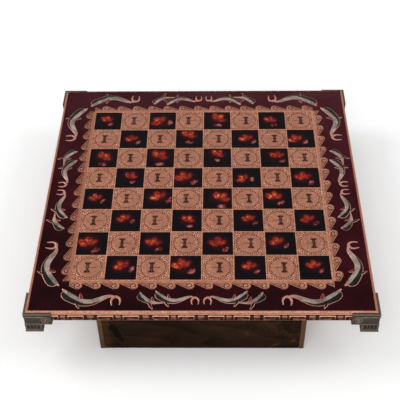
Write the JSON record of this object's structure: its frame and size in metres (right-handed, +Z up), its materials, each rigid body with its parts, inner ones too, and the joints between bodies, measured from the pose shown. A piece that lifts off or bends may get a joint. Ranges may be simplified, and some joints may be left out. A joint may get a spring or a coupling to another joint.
{
  "type": "chess box with drawers",
  "caption": "Square metal relief chess board with corner feet on a wooden box with a drawer at the front and one at the back.",
  "frame": {"origin": "on the table under the middle of the board", "axes": "+Z up, front towards -Y, +X to the right seen from the front"},
  "size_m": [0.4478, 0.4478, 0.083],
  "materials": {
    "copper": "copper-plated relief, satin with polished high spots and dark recesses",
    "bronze": "dark antique bronze, satin",
    "enamel": "burgundy enamel, glossy",
    "resin": "near-black maroon resin with amber and red flecks, glossy",
    "dolphin_metal": "two-tone pewter and dark green with copper outlines",
    "clear_pad": "clear soft pad",
    "steel": "zinc plated",
    "board_core": "fibreboard, sealed",
    "plywood": "stained plywood, satin",
    "hardwood": "beech, oiled",
    "walnut": "figured walnut veneer, satin lacquer",
    "drawer_wood": "walnut, satin",
    "felt": "burgundy felt"
  },
  "bodies": {
    "case": {"base_board": "board_core", "playing_plate": "copper", "border_enamel": "enamel", "dark_squares": "resin", "corner_dolphins": "dolphin_metal", "middle_dolphins": "dolphin_metal", "front_rail": "copper", "right_rail": "copper", "back_rail": "copper", "left_rail": "copper", "foot_front_left": "bronze", "foot_front_right": "bronze", "foot_back_right": "bronze", "foot_back_left": "bronze", "foot_pads": "clear_pad", "rail_screws": "steel", "foot_screws": "steel", "box_top": "plywood", "box_side_left": "walnut", "box_side_right": "walnut", "box_bottom": "plywood", "box_partition": "hardwood", "drawer_runners": "hardwood", "box_screws": "steel", "box_pads": "felt", "stop_pins": "steel"},
    "front_drawer": {"front_drawer_face": "walnut", "front_drawer_side_left": "drawer_wood", "front_drawer_side_right": "drawer_wood", "front_drawer_back": "drawer_wood", "front_drawer_bottom": "plywood", "front_drawer_lining": "felt", "front_drawer_dowels": "hardwood"},
    "back_drawer": {"back_drawer_face": "walnut", "back_drawer_side_left": "drawer_wood", "back_drawer_side_right": "drawer_wood", "back_drawer_back": "drawer_wood", "back_drawer_bottom": "plywood", "back_drawer_lining": "felt", "back_drawer_dowels": "hardwood"}
  },
  "joints": [
    {"name": "front_drawer_slide", "type": "slide", "parent": "case", "child": "front_drawer", "axis": [0, -1, 0], "range_m": [0, 0.15]},
    {"name": "back_drawer_slide", "type": "slide", "parent": "case", "child": "back_drawer", "axis": [0, 1, 0], "range_m": [0, 0.15]}
  ]
}
